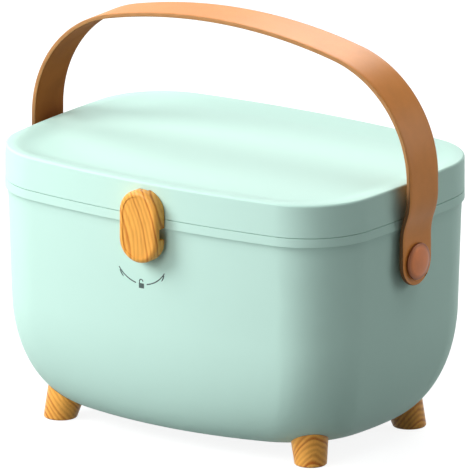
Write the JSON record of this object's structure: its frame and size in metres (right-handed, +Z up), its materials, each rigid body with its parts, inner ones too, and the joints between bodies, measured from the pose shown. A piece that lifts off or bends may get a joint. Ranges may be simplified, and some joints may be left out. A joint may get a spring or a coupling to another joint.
{
  "type": "medicine box",
  "caption": "Soft-cornered household medicine box with dished lift-off lid, turning wooden knob catches, swinging leather strap handle, splayed wooden feet and divided inner tray.",
  "frame": {"origin": "on the table under the middle of the box", "axes": "+X along the long front to the right as seen from the front, +Y to the rear, +Z up"},
  "size_m": [0.2764, 0.2048, 0.2529],
  "materials": {
    "mint_plastic": "satin",
    "seal_rubber": "matt",
    "strap_leather": "satin",
    "spacer_plastic": "matt",
    "copper_brown": "satin",
    "post_brass": "turned",
    "screw_steel": "plain",
    "amber_wood": "lacquered",
    "tray_plastic": "satin"
  },
  "bodies": {
    "box": {"tub": "mint_plastic", "inner_tray": "tray_plastic", "tray_divider_left": "tray_plastic", "tray_divider_right": "tray_plastic", "rivet_cap_left": "copper_brown", "rivet_cap_right": "copper_brown", "rivet_post_left": "post_brass", "rivet_post_right": "post_brass", "rivet_backing_left": "screw_steel", "rivet_backing_right": "screw_steel", "foot_front_left": "amber_wood", "foot_front_right": "amber_wood", "foot_rear_left": "amber_wood", "foot_rear_right": "amber_wood", "foot_screws": "screw_steel"},
    "lid": {"lid": "mint_plastic", "lid_seal": "seal_rubber"},
    "strap": {"strap": "strap_leather", "strap_spacer_left": "spacer_plastic", "strap_spacer_right": "spacer_plastic"},
    "latch_front": {"latch_knob_front": "amber_wood", "latch_insert_front": "post_brass", "latch_screw_front": "screw_steel", "latch_washer_front": "screw_steel"},
    "latch_rear": {"latch_knob_rear": "amber_wood", "latch_insert_rear": "post_brass", "latch_screw_rear": "screw_steel", "latch_washer_rear": "screw_steel"}
  },
  "joints": [
    {"name": "strap_swing", "type": "hinge", "parent": "box", "child": "strap", "pos_m": [0, 0, 0.1212], "axis": [1, 0, 0], "range_deg": [-130, 130]},
    {"name": "lid_lift", "type": "slide", "parent": "box", "child": "lid", "axis": [0, 0, 1], "range_m": [0, 0.026]},
    {"name": "latch_front_turn", "type": "hinge", "parent": "box", "child": "latch_front", "pos_m": [0, -0.098, 0.1405], "axis": [0, 1, 0], "range_deg": [-55, 55]},
    {"name": "latch_rear_turn", "type": "hinge", "parent": "box", "child": "latch_rear", "pos_m": [0, 0.098, 0.1405], "axis": [0, 1, 0], "range_deg": [-55, 55]}
  ]
}
